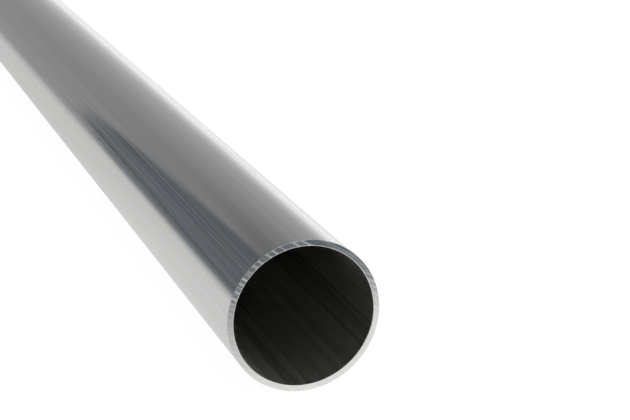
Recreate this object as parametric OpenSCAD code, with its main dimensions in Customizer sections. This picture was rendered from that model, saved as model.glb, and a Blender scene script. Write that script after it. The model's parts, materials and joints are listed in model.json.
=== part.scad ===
// Round connecting tube: one length of drawn aluminium tube, sawn square at both ends and deburred.
// The tube lies along X, with the origin on its axis at the middle of its length. +Z is up.
// All sizes are in millimetres.

/* [Tube] */
// Outside diameter, the size that tube clamps grip
outside_d = 50; // [30:1:80]
// Thickness of the wall
wall = 2; // [1:0.1:5]
// Length from one sawn face to the other
tube_length = 1000; // [200:10:2000]

/* [Sawn ends] */
// Width of the bevel that deburring leaves round the mouth of the bore
bore_bevel = 0.25; // [0.1:0.05:0.5]
// Width of the narrow bevel that just breaks the outside edge
rim_bevel = 0.1; // [0.05:0.05:0.4]

/* [Hidden] */
$fn = 180;

outside_r = outside_d / 2;
bore_r = outside_r - wall;
half_length = tube_length / 2;

// Degrees by which the seam of the turned surface is kept off the line that the tube lies on
seam_turn = 3;

// Half of the wall's section at one end, as [radius, distance from the middle]:
// from the bore across its bevel, over the sawn face, and round the rim bevel to the outside.
function end_corners(side) = [
    [bore_r, side * (half_length - bore_bevel)],
    [bore_r + bore_bevel, side * half_length],
    [outside_r - rim_bevel, side * half_length],
    [outside_r, side * (half_length - rim_bevel)]
];

// The same list from the outside back to the bore, to close the outline at the other end
function reversed(corners) = [for (i = [len(corners) - 1 : -1 : 0]) corners[i]];

// The wall cut through along the tube, standing beside the axis that it is turned about
module wall_section() {
    polygon(concat(end_corners(-1), reversed(end_corners(1))));
}

// The tube itself: the wall section turned once round, then laid down along X
module tube() {
    color("silver")
        rotate([0, 90, 0])
            rotate(-seam_turn)
                rotate_extrude()
                    wall_section();
}

tube();
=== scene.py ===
"""Looks of a round connecting tube: a length of drawn aluminium, sawn square at both ends and deburred.

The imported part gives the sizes. The tube is worked out again as one closed surface that holds the
drawing die's lines and the saw's ridges. It is dressed in four finishes and laid on a pale sheet, in
soft light, at the photograph's angle.
"""

import json
import logging
import math
from dataclasses import dataclass, field
from enum import IntEnum

import bpy
import numpy as np
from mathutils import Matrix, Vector


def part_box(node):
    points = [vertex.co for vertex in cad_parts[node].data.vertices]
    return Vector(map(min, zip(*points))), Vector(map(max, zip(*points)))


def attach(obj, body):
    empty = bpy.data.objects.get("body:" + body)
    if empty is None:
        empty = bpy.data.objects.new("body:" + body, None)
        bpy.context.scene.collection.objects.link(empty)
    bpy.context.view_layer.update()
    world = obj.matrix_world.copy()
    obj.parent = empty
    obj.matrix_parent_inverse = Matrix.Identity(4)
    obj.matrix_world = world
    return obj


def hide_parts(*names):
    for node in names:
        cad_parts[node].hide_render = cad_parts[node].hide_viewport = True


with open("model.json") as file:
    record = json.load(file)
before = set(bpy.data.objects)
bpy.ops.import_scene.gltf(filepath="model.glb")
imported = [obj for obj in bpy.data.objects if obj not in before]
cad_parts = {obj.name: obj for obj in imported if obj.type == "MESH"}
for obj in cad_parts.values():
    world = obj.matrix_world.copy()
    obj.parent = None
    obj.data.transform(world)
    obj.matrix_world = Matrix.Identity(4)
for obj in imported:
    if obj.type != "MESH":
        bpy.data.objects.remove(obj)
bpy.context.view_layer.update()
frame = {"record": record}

LOG = logging.getLogger("connecting_tube")
MM = 0.001
MICRON = 0.001 * MM
FULL_TURN = 2 * math.pi
UNIT = (0.0, 1.0)
NOISE_CORE = (0.3, 0.7)
WHITE = (1.0, 1.0, 1.0)

Colour = tuple[float, float, float]
Span = tuple[float, float]
Greys = tuple[tuple[float, float], ...]
Socket = bpy.types.NodeSocket
Feed = float | tuple[float, ...] | Socket


class End(IntEnum):
    """The two sawn ends, by the side of the tube's middle that each is on."""

    NEAR = 1
    FAR = -1


class Region(IntEnum):
    """The tube's surfaces, in the order of its material slots."""

    OUTSIDE = 0
    EDGE = 1
    FACE = 2
    BORE = 3


def opaque(colour: Colour) -> tuple[float, ...]:
    """Colour with full cover, as a colour socket takes it."""
    return (*colour, 1.0)


@dataclass
class Graph:
    """A node tree that is filled one node at a time."""

    tree: bpy.types.NodeTree

    def add(
        self, kind: str, feeds: dict[str | int, Feed] | None = None, **settings: object
    ) -> bpy.types.Node:
        """Adds one node and fills its sockets.

        Args:
            kind: The node's type, without the word ShaderNode that it begins with.
            feeds: What each socket takes, by name or place: a constant, or the output linked to it.
            settings: The node's own properties, such as its operation.

        Returns:
            The new node.
        """
        node = self.tree.nodes.new(f"ShaderNode{kind}")
        for name, value in settings.items():
            setattr(node, name, value)
        for name, value in (feeds or {}).items():
            self.feed(node.inputs[name], value)
        return node

    def feed(self, socket: Socket, value: Feed) -> None:
        """Links an output to a socket, or sets the socket to a constant.

        Args:
            socket: The socket to fill.
            value: The output or the constant.
        """
        if isinstance(value, Socket):
            self.tree.links.new(value, socket)
        else:
            socket.default_value = value

    def own_place(self) -> Socket:
        """Place on the object, in its own coordinates."""
        return self.add("TexCoord").outputs["Object"]

    def parts(self, place: Socket) -> bpy.types.NodeOutputs:
        """X, Y and Z of a place."""
        return self.add("SeparateXYZ", {0: place}).outputs

    def math(self, operation: str, first: Feed, second: Feed = 0.0) -> Socket:
        """Output of a Math node with this operation on one or two values."""
        return self.add("Math", {0: first, 1: second}, operation=operation).outputs[0]

    def plus(self, first: Feed, second: Feed) -> Socket:
        """Sum of two values."""
        return self.math("ADD", first, second)

    def times(self, first: Feed, second: Feed) -> Socket:
        """Product of two values."""
        return self.math("MULTIPLY", first, second)

    def scaled(self, place: Socket, along: Feed, across: Feed) -> Socket:
        """Place with X times along and Y and Z times across, as streaks that run along X need it."""
        factors = self.add("CombineXYZ", {"X": along, "Y": across, "Z": across})
        return self.add("VectorMath", {0: place, 1: factors.outputs[0]}, operation="MULTIPLY").outputs[0]

    def noise(self, place: Socket, detail: float, core: Span = NOISE_CORE) -> Socket:
        """Noise of one cycle per unit of place, with the core of its values spread over 0 to 1."""
        raw = self.add("TexNoise", {"Vector": place, "Scale": 1.0, "Detail": detail})
        return self.ranged(raw.outputs["Fac"], core)

    def ranged(self, value: Feed, given: Span, wanted: tuple[Feed, Feed] = UNIT) -> Socket:
        """Value with the given range carried to the wanted one and held inside it."""
        feeds = {"Value": value, 1: given[0], 2: given[1], 3: wanted[0], 4: wanted[1]}
        return self.add("MapRange", feeds).outputs[0]

    def blend(self, share: Feed, first: Feed, second: Feed) -> Socket:
        """Colour between first and second by share."""
        return self.add("Mix", {0: share, 6: first, 7: second}, data_type="RGBA").outputs[2]

    def grey(self, level: Socket) -> Socket:
        """Grey of a level."""
        return self.add("CombineColor", {0: level, 1: level, 2: level}).outputs[0]


class EffectGroup:
    """A node group with named inputs and outputs that several finishes share."""

    def __init__(self, name: str, inputs: dict[str, float | None], outputs: list[str]) -> None:
        """Opens an empty group.

        Args:
            name: The group's name.
            inputs: Each input and its usual value, with None for a place.
            outputs: The values that the group puts out.
        """
        self.tree = bpy.data.node_groups.new(name, "ShaderNodeTree")
        for label, value in inputs.items():
            kind = "NodeSocketVector" if value is None else "NodeSocketFloat"
            socket = self.tree.interface.new_socket(label, in_out="INPUT", socket_type=kind)
            if value is not None:
                socket.default_value = value
        for label in outputs:
            self.tree.interface.new_socket(label, in_out="OUTPUT", socket_type="NodeSocketFloat")
        self.graph = Graph(self.tree)
        self.given = self.tree.nodes.new("NodeGroupInput").outputs
        self.made = self.tree.nodes.new("NodeGroupOutput").inputs

    def put_out(self, label: str, value: Socket) -> None:
        """Links a value to one of the group's outputs."""
        self.graph.feed(self.made[label], value)

    def use(self, graph: Graph, feeds: dict[str, Feed]) -> bpy.types.NodeOutputs:
        """Places the group in a material.

        Args:
            graph: The material's graph.
            feeds: What each of the group's inputs takes.

        Returns:
            The outputs of the placed group.
        """
        node = graph.tree.nodes.new("ShaderNodeGroup")
        node.node_tree = self.tree
        for label, value in feeds.items():
            graph.feed(node.inputs[label], value)
        return node.outputs


class Effects:
    """The surface effects that the finishes share, each built once."""

    def __init__(self) -> None:
        """Builds the three groups."""
        self.streaks = self._streaks()
        self.strokes = self._strokes()
        self.haze = self._haze()

    @staticmethod
    def _streaks() -> EffectGroup:
        """Lines that a drawing die leaves: noise stretched along X.

        The broad lines are six times as wide as the fine ones. The scratches have a pitch of their own,
        and they are the crests of their noise, where it stands above its middle.

        Returns:
            The group.
        """
        broad_width = 6.0
        crests = (0.5, 0.64)
        inputs = {"Place": None, "Across": 1200.0, "Along": 1.0, "Scratches Across": 1200.0}
        group = EffectGroup("drawn_streaks", inputs, ["Fine", "Broad", "Scratches"])
        graph, given = group.graph, group.given
        place, along, across = given["Place"], given["Along"], given["Across"]
        fine = graph.scaled(place, along, across)
        broad = graph.scaled(place, along, graph.math("DIVIDE", across, broad_width))
        scratched = graph.scaled(place, along, given["Scratches Across"])
        group.put_out("Fine", graph.noise(fine, detail=3.0))
        group.put_out("Broad", graph.noise(broad, detail=1.0))
        group.put_out("Scratches", graph.noise(scratched, detail=3.0, core=crests))
        return group

    @staticmethod
    def _strokes() -> EffectGroup:
        """Scratches of single saw teeth: noise that is stretched along them.

        The place is first turned about X until the scratches lie along Y. Fine scratches are mixed with
        coarse ones, which are three times as large.

        Returns:
            The group.
        """
        fine_share, coarse_share = 0.4, 0.6
        coarse_scale = 0.33
        inputs = {"Place": None, "Turn": 0.0, "Across": 7000.0, "Along": 260.0}
        group = EffectGroup("saw_strokes", inputs, ["Strokes"])
        graph, given = group.graph, group.given
        turning = {"Vector": given["Place"], "Angle": given["Turn"]}
        turned = graph.add("VectorRotate", turning, rotation_type="X_AXIS").outputs[0]
        along, across = given["Along"], given["Across"]
        factors = graph.add("CombineXYZ", {"X": along, "Y": along, "Z": across}).outputs[0]
        close = graph.add("VectorMath", {0: turned, 1: factors}, operation="MULTIPLY").outputs[0]
        wide = graph.scaled(close, coarse_scale, coarse_scale)
        fine = graph.times(graph.noise(close, detail=2.0), fine_share)
        coarse = graph.times(graph.noise(wide, detail=1.0), coarse_share)
        group.put_out("Strokes", graph.plus(fine, coarse))
        return group

    @staticmethod
    def _haze() -> EffectGroup:
        """Dull film left by handling: soft noise patches, thinned by a noise twelve times as fine.

        Returns:
            The group.
        """
        fineness = 12.0
        film_core, thinning_core = (0.42, 0.7), (0.25, 0.6)
        group = EffectGroup("handling_haze", {"Place": None, "Patches": 22.0}, ["Haze"])
        graph, given = group.graph, group.given
        place, patches = given["Place"], given["Patches"]
        finer = graph.times(patches, fineness)
        film = graph.noise(graph.scaled(place, patches, patches), detail=3.0, core=film_core)
        thinning = graph.noise(graph.scaled(place, finer, finer), detail=2.0, core=thinning_core)
        group.put_out("Haze", graph.times(film, thinning))
        return group


@dataclass(frozen=True)
class ScoredSideWithPaintedSheen:
    """A side of a drawn wall that the die scored: higher lines all along it, and painted sheen lines near the
    end.
    """

    turn: float
    growth: float = 2.5
    growth_fall: Span = (math.radians(11), math.radians(20))
    share: float = 0.65
    share_fall: Span = (math.radians(8), math.radians(13))
    rise_along: Span = (0.21, 0.36)
    # bright and dark of the painted sheen lines: painted light where the wall mirrors the dark flag, not the
    # metal's own colour
    bright: Colour = (0.89, 0.89, 0.89)
    dark: Colour = (0.3, 0.31, 0.32)
    lines_across: float = 4200.0
    lines_along: float = 3.0

    def off_middle(self, graph: Graph, place: Socket) -> Socket:
        """How far a place is from the middle of the scored side, as an angle round the tube.

        Args:
            graph: The material's graph.
            place: Object coordinates.

        Returns:
            The angle, never negative.
        """
        parts = graph.parts(place)
        turn = graph.math("ARCTAN2", parts["Z"], parts["Y"])
        return graph.math("ABSOLUTE", graph.math("SUBTRACT", turn, self.turn))

    def grown(self, graph: Graph, place: Socket, height: Socket) -> Socket:
        """Makes the die's lines higher on the scored side.

        Args:
            graph: The material's graph.
            place: Object coordinates.
            height: Height of the lines all round.

        Returns:
            The height times the growth, which falls off evenly to 1 towards the side's borders.
        """
        off = self.off_middle(graph, place)
        return graph.times(height, graph.ranged(off, self.growth_fall, (self.growth, 1.0)))

    def painted_sheen_lines(self, graph: Graph, place: Socket, colour: Socket, effects: Effects) -> Socket:
        """Lays fine painted sheen lines over a colour, dark ones with bright metal between them.

        Args:
            graph: The material's graph.
            place: Object coordinates.
            colour: The wall's colour without them.
            effects: The shared effect groups.

        Returns:
            The colour, in which the lines fade out towards the side's borders and away from the end.
        """
        beside = graph.ranged(self.off_middle(graph, place), self.share_fall, (self.share, 0.0))
        along = graph.ranged(graph.parts(place)["X"], self.rise_along)
        pitches = {"Along": self.lines_along, "Scratches Across": self.lines_across}
        lines = effects.streaks.use(graph, {"Place": place, **pitches})["Scratches"]
        # painted sheen: bright and dark lines in the colour, for light that the relief scatters into the
        # mirrored dark
        shown = graph.blend(lines, opaque(self.bright), opaque(self.dark))
        return graph.blend(graph.times(beside, along), colour, shown)


@dataclass(frozen=True)
class DrawnFinish:
    """Finish of a wall that was drawn through a die, with lines along the tube.

    The lines' tone goes from dark to light, which it reaches at the ground's share of its range.
    """

    name: str
    light: Colour
    dark: Colour
    smooth: float
    dull: float
    lines_across: float
    scratches_across: float
    line_height: float
    broad_share: float
    ground: float = 1.0
    haze_share: float = 0.2
    broad_relief: float = 2.0
    scored: ScoredSideWithPaintedSheen | None = None

    def material(self, effects: Effects) -> bpy.types.Material:
        """Builds the finish as a material.

        Args:
            effects: The shared effect groups.

        Returns:
            The material, with colour, roughness and bump that follow the streaks.
        """
        material, graph, shader = new_metal(self.name)
        place = graph.own_place()
        pitches = {"Across": self.lines_across, "Scratches Across": self.scratches_across}
        streaks = effects.streaks.use(graph, {"Place": place, **pitches})
        haze = effects.haze.use(graph, {"Place": place})["Haze"]
        fine = graph.times(streaks["Fine"], 1.0 - self.broad_share)
        tone = graph.plus(fine, graph.times(streaks["Broad"], self.broad_share))
        level = graph.ranged(tone, (0.0, self.ground))
        colour = graph.blend(level, opaque(self.dark), opaque(self.light))
        scratches = graph.times(streaks["Scratches"], 1.0 - self.haze_share)
        wear = graph.plus(graph.times(haze, self.haze_share), scratches)
        height = graph.plus(streaks["Fine"], graph.times(streaks["Broad"], self.broad_relief))
        # on the scored side, painted sheen lines go into the colour and the relief is raised
        if self.scored is not None:
            colour = self.scored.painted_sheen_lines(graph, place, colour, effects)
            height = self.scored.grown(graph, place, height)
        graph.feed(shader.inputs["Base Color"], colour)
        graph.feed(shader.inputs["Roughness"], graph.ranged(wear, UNIT, (self.smooth, self.dull)))
        bump = graph.add("Bump", {"Height": height, "Distance": self.line_height, "Strength": 1.0})
        graph.feed(shader.inputs["Normal"], bump.outputs[0])
        return material


@dataclass(frozen=True)
class CutFinish:
    """Finish of fresh metal that a saw or a deburring blade has cut."""

    name: str
    light: Colour
    dark: Colour
    smooth: float
    dull: float
    stroke_height: float
    stroke_turn: float
    haze_patches: float = 90.0

    def material(self, effects: Effects) -> bpy.types.Material:
        """Builds the finish as a material.

        Args:
            effects: The shared effect groups.

        Returns:
            The material, with colour, roughness and bump that follow the strokes.
        """
        material, graph, shader = new_metal(self.name)
        place = graph.own_place()
        strokes = effects.strokes.use(graph, {"Place": place, "Turn": self.stroke_turn})["Strokes"]
        haze = effects.haze.use(graph, {"Place": place, "Patches": self.haze_patches})["Haze"]
        colour = graph.blend(strokes, opaque(self.dark), opaque(self.light))
        graph.feed(shader.inputs["Base Color"], colour)
        graph.feed(shader.inputs["Roughness"], graph.ranged(haze, UNIT, (self.smooth, self.dull)))
        bump = graph.add("Bump", {"Height": strokes, "Distance": self.stroke_height, "Strength": 1.0})
        graph.feed(shader.inputs["Normal"], bump.outputs[0])
        return material


def new_material(name: str) -> tuple[bpy.types.Material, Graph]:
    """Starts a material with an empty graph.

    Args:
        name: The material's name.

    Returns:
        The material and its graph.
    """
    material = bpy.data.materials.new(name)
    material.use_nodes = True
    material.node_tree.nodes.clear()
    return material, Graph(material.node_tree)


def new_metal(name: str) -> tuple[bpy.types.Material, Graph, bpy.types.Node]:
    """Starts a metal's material.

    Args:
        name: The material's name.

    Returns:
        The material, its graph, and its Principled shader, which is already joined to the output.
    """
    material, graph = new_material(name)
    shader = graph.add("BsdfPrincipled", {"Metallic": 1.0})
    graph.add("OutputMaterial", {"Surface": shader.outputs[0]})
    return material, graph, shader


def grid_object(name: str, points: np.ndarray, closed: bool = False) -> bpy.types.Object:
    """Makes an object of quads from a grid of points.

    Each quad joins a point with the next in its row and the two below them. On a closed grid the last
    row and column are joined to the first ones.

    Args:
        name: Name of the object and its mesh.
        points: Places in metres, by row and column.
        closed: Whether the grid closes on itself both ways.

    Returns:
        The object, smooth, at the origin and in the scene.
    """
    rows, columns = points.shape[:2]
    spare = 0 if closed else 1
    row, column = np.meshgrid(np.arange(rows - spare), np.arange(columns - spare), indexing="ij")
    below, beside = (row + 1) % rows, (column + 1) % columns
    corners = np.stack([
        row * columns + column,
        row * columns + beside,
        below * columns + beside,
        below * columns + column,
    ], -1).reshape(-1, 4)
    mesh = bpy.data.meshes.new(name)
    mesh.vertices.add(rows * columns)
    mesh.vertices.foreach_set("co", points.astype(np.float32).ravel())
    mesh.loops.add(corners.size)
    mesh.loops.foreach_set("vertex_index", corners.astype(np.int32).ravel())
    mesh.polygons.add(len(corners))
    mesh.polygons.foreach_set("loop_start", np.arange(0, corners.size, 4, dtype=np.int32))
    mesh.polygons.foreach_set("use_smooth", np.ones(len(corners), dtype=bool))
    mesh.update(calc_edges=True)
    made = bpy.data.objects.new(name, mesh)
    bpy.context.scene.collection.objects.link(made)
    return made


@dataclass
class SawCut:
    """The relief that a band saw leaves on an end face: straight ridges of uneven pitch, all one way."""

    turn: float
    phases: tuple[float, ...]
    depth: float = 130 * MICRON
    rough_side: float = math.radians(107)
    calm_share: float = 0.13
    calm_span: Span = (10 * MM, 20 * MM)
    pitches: tuple[float, ...] = (2.32 * MM, 1.67 * MM, 1.41 * MM, 0.9 * MM)
    shares: tuple[float, ...] = (0.44, 0.3, 0.175, 0.085)

    def depth_at(self, y: np.ndarray, z: np.ndarray) -> np.ndarray:
        """How far the saw went below the sawn plane, in metres.

        The distance across the strokes is y and z turned by the cut's angle. Each pitch gives a cosine of
        that distance, with a phase of its own, and their weighted mean, from 0 to 1, is multiplied by the
        depth. The depth is full on the rough side, where the saw bit, and falls evenly over the calm span
        to its share elsewhere.

        Args:
            y: Places across the tube.
            z: Heights, of the same shape.

        Returns:
            Depths of the same shape, never negative.
        """
        across = y * math.sin(self.turn) + z * math.cos(self.turn)
        toward = y * math.cos(self.rough_side) + z * math.sin(self.rough_side)
        waves = np.cos(FULL_TURN * across[..., None] / np.array(self.pitches) + np.array(self.phases))
        rough = np.interp(toward, self.calm_span, (self.calm_share, 1.0))
        return self.depth * rough * (0.5 + 0.5 * (waves * np.array(self.shares)).sum(-1))


@dataclass
class DieLines:
    """Lines that run the whole length of a drawn wall, as ridges a few microns high round its circle."""

    seed: int
    height: float
    waves: int = 40
    fewest: int = 24
    most: int = 240

    def height_at(self, angle: np.ndarray) -> np.ndarray:
        """Height of the ridges over the true circle.

        It is a sum of cosines of the angle, each with a whole number of ridges round the circle, so that
        the ends meet, with a phase of its own, and with a share that falls as the number of ridges grows.

        Args:
            angle: Angles round the tube.

        Returns:
            Heights in metres, of the same shape.
        """
        draw = np.random.default_rng(self.seed)
        ridges = draw.integers(self.fewest, self.most, self.waves)
        phases = draw.uniform(0, FULL_TURN, self.waves)
        shares = self.fewest / ridges
        return self.height * (np.cos(angle[..., None] * ridges + phases) * shares).sum(-1)


@dataclass
class DrawnTube:
    """The tube as one closed surface: a section of its wall carried once round its axis."""

    outside_radius: float
    bore_radius: float
    half_length: float
    rim_round: float
    mouth_round: float
    cuts: dict[End, SawCut]
    outside_lines: DieLines
    bore_lines: DieLines
    segments: int = 960
    wall_rings: int = 20
    edge_rings: int = 7
    face_rings: int = 12
    edge_guard: float = 0.06 * MM
    map_share: float = 0.44
    piece: bpy.types.Object | None = field(default=None, init=False)

    def end_section(self) -> np.ndarray:
        """Section across one sawn end, from the outside wall to the bore's wall.

        Both edges are quarter circles, so they run smoothly into the walls and the face. The face between
        them has its rings closer together near the edges, by a cosine.

        Returns:
            Rows of setback behind the sawn plane, radius, share of the saw's relief, and region.
        """
        turn = np.linspace(0, math.pi / 2, self.edge_rings)
        rim = np.stack([
            self.rim_round * (1 - np.sin(turn)),
            self.outside_radius - self.rim_round * (1 - np.cos(turn)),
            np.sin(turn),
            np.full_like(turn, Region.EDGE),
        ], 1)
        mouth = np.stack([
            self.mouth_round * (1 - np.cos(turn)),
            self.bore_radius + self.mouth_round * (1 - np.sin(turn)),
            np.cos(turn),
            np.full_like(turn, Region.EDGE),
        ], 1)
        step = 0.5 - 0.5 * np.cos(math.pi * np.arange(1, self.face_rings) / self.face_rings)
        face = np.stack([
            np.zeros_like(step),
            rim[-1, 1] + (mouth[0, 1] - rim[-1, 1]) * step,
            np.ones_like(step),
            np.full_like(step, Region.FACE),
        ], 1)
        rim[-1, 3] = Region.FACE
        mouth[-1, 3] = Region.BORE
        return np.concatenate([rim, face, mouth])

    def wall_section(self, radius: float, edge: float, region: Region) -> np.ndarray:
        """Rings along a wall from the far end to the near one, evenly spread, with one close to each edge.

        Args:
            radius: The wall's radius.
            edge: Size of the rounded edges that end it.
            region: The wall's region.

        Returns:
            Rows of distance from the middle, radius, share of the saw's relief, and region.
        """
        reach = self.half_length - edge - self.edge_guard
        along = np.linspace(-reach, reach, self.wall_rings)
        ones = np.ones_like(along)
        return np.stack([along, radius * ones, 0 * ones, region * ones], 1)

    def whole_section(self) -> tuple[np.ndarray, np.ndarray]:
        """The closed section of the wall.

        It goes along the outside, across the near end, back along the bore and across the far end.

        Returns:
            Rows of distance from the middle, radius, share of the saw's relief and region of the faces that
            follow, and the end that each row is cut by, with 0 on the walls.
        """
        near = self.end_section()
        far = near[::-1].copy()
        far[:-1, 3] = far[1:, 3]
        far[:, 3] = np.where(far[:, 3] == Region.BORE, Region.EDGE, far[:, 3])
        far[-1, 3] = Region.OUTSIDE
        near[:, 0] = self.half_length - near[:, 0]
        far[:, 0] = far[:, 0] - self.half_length
        outside = self.wall_section(self.outside_radius, self.rim_round, Region.OUTSIDE)
        bore = self.wall_section(self.bore_radius, self.mouth_round, Region.BORE)[::-1]
        rows = np.concatenate([outside, near, bore, far])
        cut_by = np.concatenate([
            np.zeros(len(outside)),
            np.full(len(near), End.NEAR),
            np.zeros(len(bore)),
            np.full(len(far), End.FAR),
        ])
        return rows, cut_by

    def surface(self, rows: np.ndarray, cut_by: np.ndarray) -> np.ndarray:
        """Carries the section round the axis.

        A point is at the row's distance along X and at the row's radius from the axis. The radius is raised
        by the die lines, those of the bore going over to those of the outside through the wall. The distance
        is cut back at each end by that end's relief.

        Args:
            rows: The section, as whole_section gives it.
            cut_by: The end that cuts each row.

        Returns:
            Points in metres, by row and angle.
        """
        angle = np.arange(self.segments) * FULL_TURN / self.segments
        through = (rows[:, 1:2] - self.bore_radius) / (self.outside_radius - self.bore_radius)
        outer, inner = self.outside_lines.height_at(angle), self.bore_lines.height_at(angle)
        radius = rows[:, 1:2] + outer * through + inner * (1 - through)
        y, z = radius * np.cos(angle), radius * np.sin(angle)
        x = np.broadcast_to(rows[:, 0:1], y.shape).copy()
        for end, cut in self.cuts.items():
            share = rows[:, 2:3] * (cut_by == end)[:, None]
            x -= end * share * cut.depth_at(y, z)
        return np.stack([x, y, z], -1)

    def build(self) -> bpy.types.Object:
        """Makes the mesh: a grid of quads that closes both along the section and round the tube.

        Returns:
            The tube's object, at the origin.
        """
        rows, cut_by = self.whole_section()
        points = self.surface(rows, cut_by)
        self.piece = grid_object("drawn_tube", points, closed=True)
        regions = np.repeat(rows[:, 3], self.segments).astype(np.int32)
        self.piece.data.polygons.foreach_set("material_index", regions)
        bake_map = self.piece.data.uv_layers.new(name="OFBake")
        bake_map.uv.foreach_set("vector", self.unrolled(rows).ravel())
        return self.piece

    def unrolled(self, rows: np.ndarray) -> np.ndarray:
        """The tube unrolled on a square map, with no two faces on one place.

        A corner's first place is its turn round the tube, and its second is the way along the section up to
        it. The ways along the two walls take the map's share each, and those across the two ends take half
        of what is left.

        Args:
            rows: The section, as whole_section gives it.

        Returns:
            Places from 0 to 1, by face and corner.
        """
        steps = np.linalg.norm(np.roll(rows[:, :2], -1, axis=0) - rows[:, :2], axis=1)
        walls = [rows[:, 3] == Region.OUTSIDE, rows[:, 3] == Region.BORE]
        first_half = np.arange(len(rows)) < len(rows) // 2
        ends = [~walls[0] & ~walls[1] & first_half, ~walls[0] & ~walls[1] & ~first_half]
        end_share = 0.5 - self.map_share
        shares = [self.map_share, self.map_share, end_share, end_share]
        for band, share in zip(walls + ends, shares):
            steps[band] *= share / steps[band].sum()
        way = np.concatenate([[0.0], np.cumsum(steps)])
        turn = np.arange(self.segments + 1) / self.segments
        low, high = way[:-1, None], way[1:, None]
        start, stop = turn[None, :-1], turn[None, 1:]
        corners = [(start, low), (stop, low), (stop, high), (start, high)]
        return np.stack([np.stack(np.broadcast_arrays(*corner), -1) for corner in corners], 2)

    def dress(self, finishes: dict[Region, bpy.types.Material]) -> None:
        """Gives each region its material, in the order of the regions."""
        for region in Region:
            self.piece.data.materials.append(finishes[region])

    def place(self) -> None:
        """Rides the tube on the part's one body, in the stead of its CAD node."""
        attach(self.piece, "root")
        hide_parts("tube")


@dataclass(frozen=True)
class DarkFlag:
    """The dark flag that stands at the left of the tube, which only mirror rays see: a painted dark
    reflection.

    It glows with painted shade in soft level bands, has one tone at its far edge and another further on, has
    a painted paler foot, and thins out towards the far edge.
    """

    floor_height: float
    beside: float = -0.216
    height: float = 0.6
    height_steps: int = 60
    reach: float = 0.75
    spread: float = 0.16
    lift: float = 0.025
    edge_foot: float = -0.24
    edge_bend: float = 0.135
    edge_bend_height: float = 0.06
    edge_slope: float = 0.06
    edge_top_slope: float = 0.5
    edge_top: float = 0.34
    thin_least: float = 0.01
    thin_growth: float = 0.28
    thin_from: float = 0.08
    thin_sides: Span = (-0.65, 0.35)
    # painted dark tones that mirrors show: the flag glows with them and takes no light
    edge_tone: Colour = (0.107, 0.126, 0.145)
    tone: Colour = (0.148, 0.158, 0.174)
    tone_reach: float = 0.4
    # painted fold shade in level bands, a number of them a metre, and a painted paler foot
    painted_folds: float = 50.0
    fold_heights: Span = (0.05, 0.15)
    fold_darkest: Span = (0.4, 0.5)
    fold_palest: Span = (1.6, 1.45)
    foot_paleness: float = 1.6
    foot_height: float = 0.04

    def build(self) -> bpy.types.Object:
        """Makes the flag from its grid of points and hides it from all but mirror rays.

        Returns:
            The flag's object.
        """
        points, cover = self.surface()
        board = grid_object("left_flag", points)
        covers = board.data.attributes.new("cover", "FLOAT", "POINT")
        covers.data.foreach_set("value", cover.ravel())
        board.data.materials.append(self.material(points))
        board.visible_camera = False
        board.visible_diffuse = False
        board.visible_shadow = False
        return board

    def surface(self) -> tuple[np.ndarray, np.ndarray]:
        """Works out the flag's points.

        It runs forward, a little outward and upward, from a far edge that leans back as it rises: fast near
        the sheet, by an exponential, then slowly and evenly, and faster again near the top. It thins out
        towards that edge, over a breadth that grows with the height.

        Returns:
            Points in metres, by height and by place along the flag, and how far each covers what is behind.
        """
        height = np.linspace(0, self.height, self.height_steps)
        bend = self.edge_bend * (1 - np.exp(-height / self.edge_bend_height))
        lean = self.edge_slope * height + self.edge_top_slope * np.maximum(height - self.edge_top, 0)
        edge = self.edge_foot - bend - lean
        thin = self.thin_least + self.thin_growth * np.maximum(height[:, None] - self.thin_from, 0)
        clear, full = self.thin_sides
        along = np.concatenate([clear * thin, full * thin, np.full_like(thin, self.reach)], 1)
        x = edge[:, None] + along
        y = self.beside - self.spread * along
        z = self.floor_height + height[:, None] + self.lift * along
        cover = np.broadcast_to((0.0, 1.0, 1.0), x.shape).astype(np.float32)
        return np.stack([x, y, z], -1), cover

    def material(self, points: np.ndarray) -> bpy.types.Material:
        """Builds a material that takes no light and glows with the flag's painted tones, fold shade and pale
        foot.

        Args:
            points: The flag's points.

        Returns:
            The material.
        """
        material, graph = new_material("left_flag")
        place = graph.parts(graph.own_place())
        edge, foot = float(points[..., 0].min()), float(points[..., 2].min())
        share = graph.ranged(place["X"], (edge, edge + self.tone_reach))
        tone = graph.blend(share, opaque(self.edge_tone), opaque(self.tone))
        level = graph.add("CombineXYZ", {"Z": graph.times(place["Z"], self.painted_folds)}).outputs[0]
        span = foot + self.fold_heights[0], foot + self.fold_heights[1]
        darkest = graph.ranged(place["Z"], span, self.fold_darkest)
        palest = graph.ranged(place["Z"], span, self.fold_palest)
        painted_folds = graph.ranged(graph.noise(level, detail=2.0), UNIT, (darkest, palest))
        foot_span = foot, foot + self.foot_height
        painted_pale_foot = graph.ranged(place["Z"], foot_span, (self.foot_paleness, 1.0))
        # the flag glows with its painted tones, painted fold shade and painted pale foot
        glow = graph.add("Emission", {"Color": tone, "Strength": graph.times(painted_folds, painted_pale_foot)})
        cover = graph.add("Attribute", attribute_name="cover").outputs["Fac"]
        clear = graph.add("BsdfTransparent")
        shown = graph.add("MixShader", {0: cover, 1: clear.outputs[0], 2: glow.outputs[0]})
        graph.add("OutputMaterial", {"Surface": shown.outputs[0]})
        return material


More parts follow.
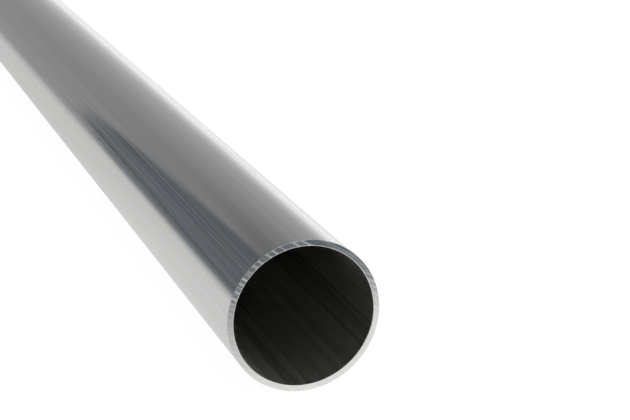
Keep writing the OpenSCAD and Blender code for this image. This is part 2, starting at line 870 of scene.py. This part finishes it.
@dataclass(frozen=True)
class PaleSheet:
    """The pale sheet under the tube: white to the camera, with painted light and shade where metal mirrors
    it.

    Spans along the tube are counted from its near end, and spans across it from its axis to the right.
    """

    floor_height: float
    near_end: float
    side: float = 40.0
    white: Colour = (0.94, 0.94, 0.94)
    blue_share: float = 0.98
    # painted light and shade that mirrors see beside the tube: a falloff from the back left, painted shade by
    # the flag, and a painted bright strip at the right
    back_pull: float = 0.25
    back_span: Span = (-0.33, -0.11)
    back_levels: Span = (0.30, 0.585)
    left_span: Span = (-0.11, 0.06)
    left_gain: float = 0.06
    end_span: Span = (-0.3, -0.15)
    end_shares: Span = (0.945, 1.03)
    flag_span: Span = (-0.14, -0.08)
    flag_share: float = 0.92
    thrown_rise: Span = (0.055, 0.08)
    thrown_fall: Span = (0.085, 0.12)
    thrown_gain: float = 0.2
    right_span: Span = (0.16, 0.42)
    right_levels: Span = (0.75, 1.0)
    under_span: Span = (0.0, 0.08)
    # painted levels that mirrors see in front of the tube, fading forward, with painted shade at the left
    front_span: Span = (-0.015, 0.0)
    front_level: float = 0.85
    fade_span: Span = (0.0, 0.07)
    fade_sides: Span = (0.0, 0.05)
    fade_shares: Span = (0.4, 0.93)
    shaded_sides: Span = (-0.055, -0.015)
    shaded_share: float = 0.25
    # where mirrors see a painted dark in front of the tube, and its tones
    slant_sides: Span = (-0.5, 0.5)
    slant: Span = (-0.06, 0.06)
    painted_dark_span: Span = (0.075, 0.106)
    dark_sides: Span = (0.015, 0.05)
    dark_left: Colour = (0.155, 0.178, 0.2)
    dark_right: Colour = (0.122, 0.143, 0.166)
    lit_share: float = 0.8
    held_share: float = 0.12

    def build(self) -> bpy.types.Object:
        """Lays the sheet: a flat square at the height of the tube's lowest line.

        Returns:
            The sheet's object.
        """
        x, y = np.meshgrid([-0.5, 0.5], [-0.5, 0.5])
        flat = np.stack([x * self.side, y * self.side, np.full_like(x, self.floor_height)], -1)
        sheet = grid_object("pale_sheet", flat)
        sheet.data.materials.append(self.material())
        return sheet

    def along(self, span: Span) -> Span:
        """Span along X of a span that is counted from the near end."""
        return self.near_end + span[0], self.near_end + span[1]

    def painted_beside_level(self, graph: Graph, place: bpy.types.NodeOutputs) -> Socket:
        """Painted light and shade that metal mirrors on the sheet beside the tube.

        At the left it rises evenly from the back left, is brighter towards the near end and has painted shade
        by the flag. At the right it rises evenly away from the tube, with a painted bright strip close beside
        it, for light the tube throws back.

        Args:
            graph: The material's graph.
            place: X, Y and Z of the object coordinates.

        Returns:
            The level.
        """
        from_back_left = graph.plus(place["Y"], graph.times(place["X"], self.back_pull))
        far_left = graph.ranged(from_back_left, self.back_span, self.back_levels)
        left = graph.plus(far_left, graph.ranged(from_back_left, self.left_span, (0.0, self.left_gain)))
        toward_end = graph.ranged(place["X"], self.along(self.end_span), self.end_shares)
        by_flag = graph.ranged(place["Y"], self.flag_span, (self.flag_share, 1.0))
        left = graph.times(left, graph.times(toward_end, by_flag))
        risen = graph.ranged(place["Y"], self.thrown_rise, (0.0, self.thrown_gain))
        thrown = graph.times(risen, graph.ranged(place["Y"], self.thrown_fall, (1.0, 0.0)))
        right = graph.plus(graph.ranged(place["Y"], self.right_span, self.right_levels), thrown)
        return graph.ranged(place["Y"], self.under_span, (left, right))

    def level(self, graph: Graph, place: bpy.types.NodeOutputs) -> Socket:
        """Painted light and shade that metal mirrors on the sheet.

        Beside the tube it is as the level beside the tube gives it. In front of the tube it has a painted
        level of its own, which fades forward, most at the left, and has painted shade further left.

        Args:
            graph: The material's graph.
            place: X, Y and Z of the object coordinates.

        Returns:
            The level.
        """
        in_front = graph.ranged(place["X"], self.along(self.front_span))
        bright = graph.ranged(in_front, UNIT, (self.painted_beside_level(graph, place), self.front_level))
        faded = graph.ranged(place["Y"], self.fade_sides, self.fade_shares)
        fade = graph.ranged(place["X"], self.along(self.fade_span), (1.0, faded))
        shaded = graph.times(in_front, graph.ranged(place["Y"], self.shaded_sides, (1.0, 0.0)))
        shade = graph.ranged(shaded, UNIT, (1.0, self.shaded_share))
        return graph.times(bright, graph.times(fade, shade))

    def material(self) -> bpy.types.Material:
        """Builds the sheet: an even white of its own to the camera, painted light and shade to mirrors, the
        rest lit by lamps.

        The lit part holds the tube's shadow. To mirrors, past a slanted line a hand's breadth in front of the
        tube, the sheet glows with a painted dark instead of its white.

        Returns:
            The material.
        """
        material, graph = new_material("pale_sheet")
        path = graph.add("LightPath").outputs
        camera = path["Is Camera Ray"]
        mirror = graph.math("MAXIMUM", path["Is Glossy Ray"], path["Is Transmission Ray"])
        seen = graph.math("MAXIMUM", camera, mirror)
        place = graph.parts(graph.own_place())
        # levels of painted light and shade, seen by mirrors only
        level = self.level(graph, place)
        blue = graph.times(level, self.blue_share)
        pale = graph.add("CombineColor", {0: level, 1: level, 2: blue}).outputs[0]
        # past a slanted line in front of the tube, mirrors see a painted dark instead of the sheet
        from_end = graph.plus(place["X"], graph.ranged(place["Y"], self.slant_sides, self.slant))
        in_painted_dark = graph.ranged(from_end, self.along(self.painted_dark_span))
        dark_side = graph.ranged(place["Y"], self.dark_sides)
        dark = graph.blend(dark_side, opaque(self.dark_left), opaque(self.dark_right))
        own = graph.blend(camera, graph.blend(in_painted_dark, pale, dark), opaque(self.white))
        glow = graph.add("Emission", {"Color": own, "Strength": seen})
        held = graph.ranged(graph.times(mirror, in_painted_dark), UNIT, (self.held_share, 0.0))
        lit = graph.ranged(seen, UNIT, (self.lit_share, held))
        shade = graph.add("BsdfDiffuse", {"Color": graph.grey(lit)})
        both = graph.add("AddShader", {0: glow.outputs[0], 1: shade.outputs[0]})
        graph.add("OutputMaterial", {"Surface": both.outputs[0]})
        return material


@dataclass(frozen=True)
class GreyRoom:
    """The world: a grey room with a bright low wall at the right and a pale front.

    It darkens upwards, to a pale ceiling. Each of the greys is a row of stops: the height of a direction,
    and the grey there.
    """

    room: Greys = (
        (0.0, 0.35), (0.09, 0.33), (0.17, 0.32), (0.28, 0.29),
        (0.37, 0.265), (0.43, 0.18), (0.65, 0.3), (0.8, 0.95),
    )
    wall: Greys = (
        (0.0, 1.22), (0.035, 1.0), (0.07, 0.83), (0.14, 0.56), (0.21, 0.43),
        (0.37, 0.335), (0.5, 0.2), (0.65, 0.3), (0.8, 0.95),
    )
    front: Greys = ((0.0, 0.75), (0.1, 0.9), (0.8, 0.95))
    side: Colour = (0.95, 0.95, 0.935)
    right_span: Span = (-0.1, 0.2)
    back_span: Span = (-0.2, 0.4)
    side_span: Span = (-0.6, -0.2)
    front_span: Span = (0.2, 0.6)

    def build(self) -> None:
        """Paints the room by direction, and makes it white to the camera."""
        world = bpy.data.worlds.new("grey_room")
        world.use_nodes = True
        world.node_tree.nodes.clear()
        graph = Graph(world.node_tree)
        way = graph.parts(graph.add("TexCoord").outputs["Generated"])
        room, wall, front = (self.greys(graph, way["Z"], row) for row in (self.room, self.wall, self.front))
        rightward = graph.ranged(way["Y"], self.right_span)
        backward = graph.ranged(way["X"], self.back_span, (1.0, 0.0))
        sideward = graph.ranged(way["X"], self.side_span)
        forward = graph.ranged(way["X"], self.front_span)
        shown = graph.blend(graph.times(rightward, backward), room, wall)
        shown = graph.blend(graph.times(rightward, sideward), shown, opaque(self.side))
        shown = graph.blend(forward, shown, front)
        shown = graph.blend(graph.add("LightPath").outputs["Is Camera Ray"], shown, opaque(WHITE))
        light = graph.add("Background", {"Color": shown, "Strength": 1.0})
        graph.add("OutputWorld", {"Surface": light.outputs[0]})
        bpy.context.scene.world = world

    @staticmethod
    def greys(graph: Graph, height: Socket, stops: Greys) -> Socket:
        """Grey that goes evenly from stop to stop as the height grows.

        Args:
            graph: The world's graph.
            height: Height of the direction.
            stops: Each stop's height and grey, from low to high.

        Returns:
            The grey.
        """
        node = graph.add("ValToRGB", {"Fac": height})
        elements = node.color_ramp.elements
        elements.remove(elements[1])
        for index, (place, grey) in enumerate(stops):
            stop = elements[0] if index == 0 else elements.new(place)
            stop.position = place
            stop.color = (grey, grey, grey, 1.0)
        return node.outputs[0]


@dataclass
class Studio:
    """The pale sheet, the dark flag, the soft light, the room that the metal mirrors, and the camera."""

    floor_height: float
    near_end: float
    softbox_side: float = 1.0
    softbox_power: float = 8.0
    softbox_place: tuple[float, float, float] = (-0.05, 0.75, 1.0)
    camera_place: tuple[float, float, float] = (0.9392, -0.1526, 0.1814)
    camera_pitch: float = math.radians(17.51)
    camera_turn: float = math.radians(19.56)
    camera_lens: float = 91.56
    camera_clip: float = 0.01

    def build(self) -> None:
        """Sets up the sheet, the flag, the light, the room and the camera."""
        PaleSheet(self.floor_height, self.near_end).build()
        DarkFlag(self.floor_height).build()
        self.softbox()
        GreyRoom().build()
        self.camera()
        bpy.context.scene.view_settings.view_transform = "Standard"

    def softbox(self) -> bpy.types.Object:
        """Hangs the softbox over the right of the tube.

        Returns:
            The light's object.
        """
        light = bpy.data.lights.new("softbox", "AREA")
        light.shape = "SQUARE"
        light.size = self.softbox_side
        light.energy = self.softbox_power
        lamp = bpy.data.objects.new("softbox", light)
        lamp.location = self.softbox_place
        lamp.rotation_euler = (-Vector(self.softbox_place)).to_track_quat("-Z", "Y").to_euler()
        lamp.visible_camera = False
        lamp.visible_glossy = False
        bpy.context.scene.collection.objects.link(lamp)
        return lamp

    def camera(self) -> bpy.types.Object:
        """Sets the camera at the photograph's place: turned to the tube's left side and pitched down.

        Returns:
            The camera's object.
        """
        level = math.cos(self.camera_pitch)
        forward = Vector((
            -level * math.cos(self.camera_turn),
            level * math.sin(self.camera_turn),
            -math.sin(self.camera_pitch),
        ))
        camera = bpy.data.objects.new("camera", bpy.data.cameras.new("camera"))
        camera.data.lens = self.camera_lens
        camera.data.clip_start = self.camera_clip
        camera.location = self.camera_place
        camera.rotation_euler = forward.to_track_quat("-Z", "Y").to_euler()
        bpy.context.scene.collection.objects.link(camera)
        bpy.context.scene.camera = camera
        return camera


def mount_radius(name: str) -> float:
    """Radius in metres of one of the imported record's round mounts."""
    found = next(m for m in frame["record"]["mounts"] if m["name"] == name)
    return found["dims"]["r_mm"] * MM


def tube_finishes(saw_turn: float) -> dict[Region, DrawnFinish | CutFinish]:
    """The finish of each of the tube's regions.

    Args:
        saw_turn: Angle of the saw's strokes on the end faces.

    Returns:
        The finishes by region.
    """
    return {
        Region.OUTSIDE: DrawnFinish(
            name="bright_drawn_wall",
            light=(0.75, 0.75, 0.745),
            dark=(0.62, 0.625, 0.63),
            smooth=0.07,
            dull=0.25,
            lines_across=2400.0,
            scratches_across=1200.0,
            line_height=2.4 * MICRON,
            broad_share=0.3,
            # the side that mirrors the dark flag gets painted sheen lines in its colour
            scored=ScoredSideWithPaintedSheen(turn=math.radians(144)),
        ),
        Region.EDGE: CutFinish(
            name="deburred_edge",
            light=(0.86, 0.86, 0.85),
            dark=(0.78, 0.78, 0.78),
            smooth=0.15,
            dull=0.25,
            stroke_height=2 * MICRON,
            stroke_turn=saw_turn,
        ),
        Region.FACE: CutFinish(
            name="sawn_face",
            light=(0.87, 0.87, 0.855),
            dark=(0.71, 0.71, 0.71),
            smooth=0.14,
            dull=0.24,
            stroke_height=18 * MICRON,
            stroke_turn=saw_turn,
        ),
        Region.BORE: DrawnFinish(
            name="dull_drawn_bore",
            light=(0.8, 0.8, 0.765),
            dark=(0.48, 0.48, 0.455),
            smooth=0.345,
            dull=0.47,
            lines_across=1900.0,
            scratches_across=1900.0,
            line_height=3 * MICRON,
            broad_share=0.45,
            ground=0.6,
        ),
    }


def main() -> None:
    """Builds the tube, dresses it and sets up the studio, in that order."""
    logging.basicConfig(level=logging.INFO, format="%(name)s: %(message)s")
    low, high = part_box("tube")
    saw_turn = math.radians(30.8)
    tube = DrawnTube(
        outside_radius=mount_radius("outside"),
        bore_radius=mount_radius("bore"),
        half_length=(high.x - low.x) / 2,
        rim_round=0.08 * MM,
        mouth_round=0.25 * MM,
        cuts={
            End.NEAR: SawCut(saw_turn, phases=(0.64, 4.58, 3.45, 2.96)),
            End.FAR: SawCut(saw_turn, phases=(2.1, 0.9, 5.2, 1.3)),
        },
        outside_lines=DieLines(seed=11, height=0.25 * MICRON),
        bore_lines=DieLines(seed=12, height=0.6 * MICRON),
    )
    piece = tube.build()
    effects = Effects()
    tube.dress({region: finish.material(effects) for region, finish in tube_finishes(saw_turn).items()})
    tube.place()
    LOG.info("piece %s with %d faces", piece.name, len(piece.data.polygons))
    Studio(floor_height=-tube.outside_radius, near_end=tube.half_length).build()


if __name__ == "__main__":
    main()
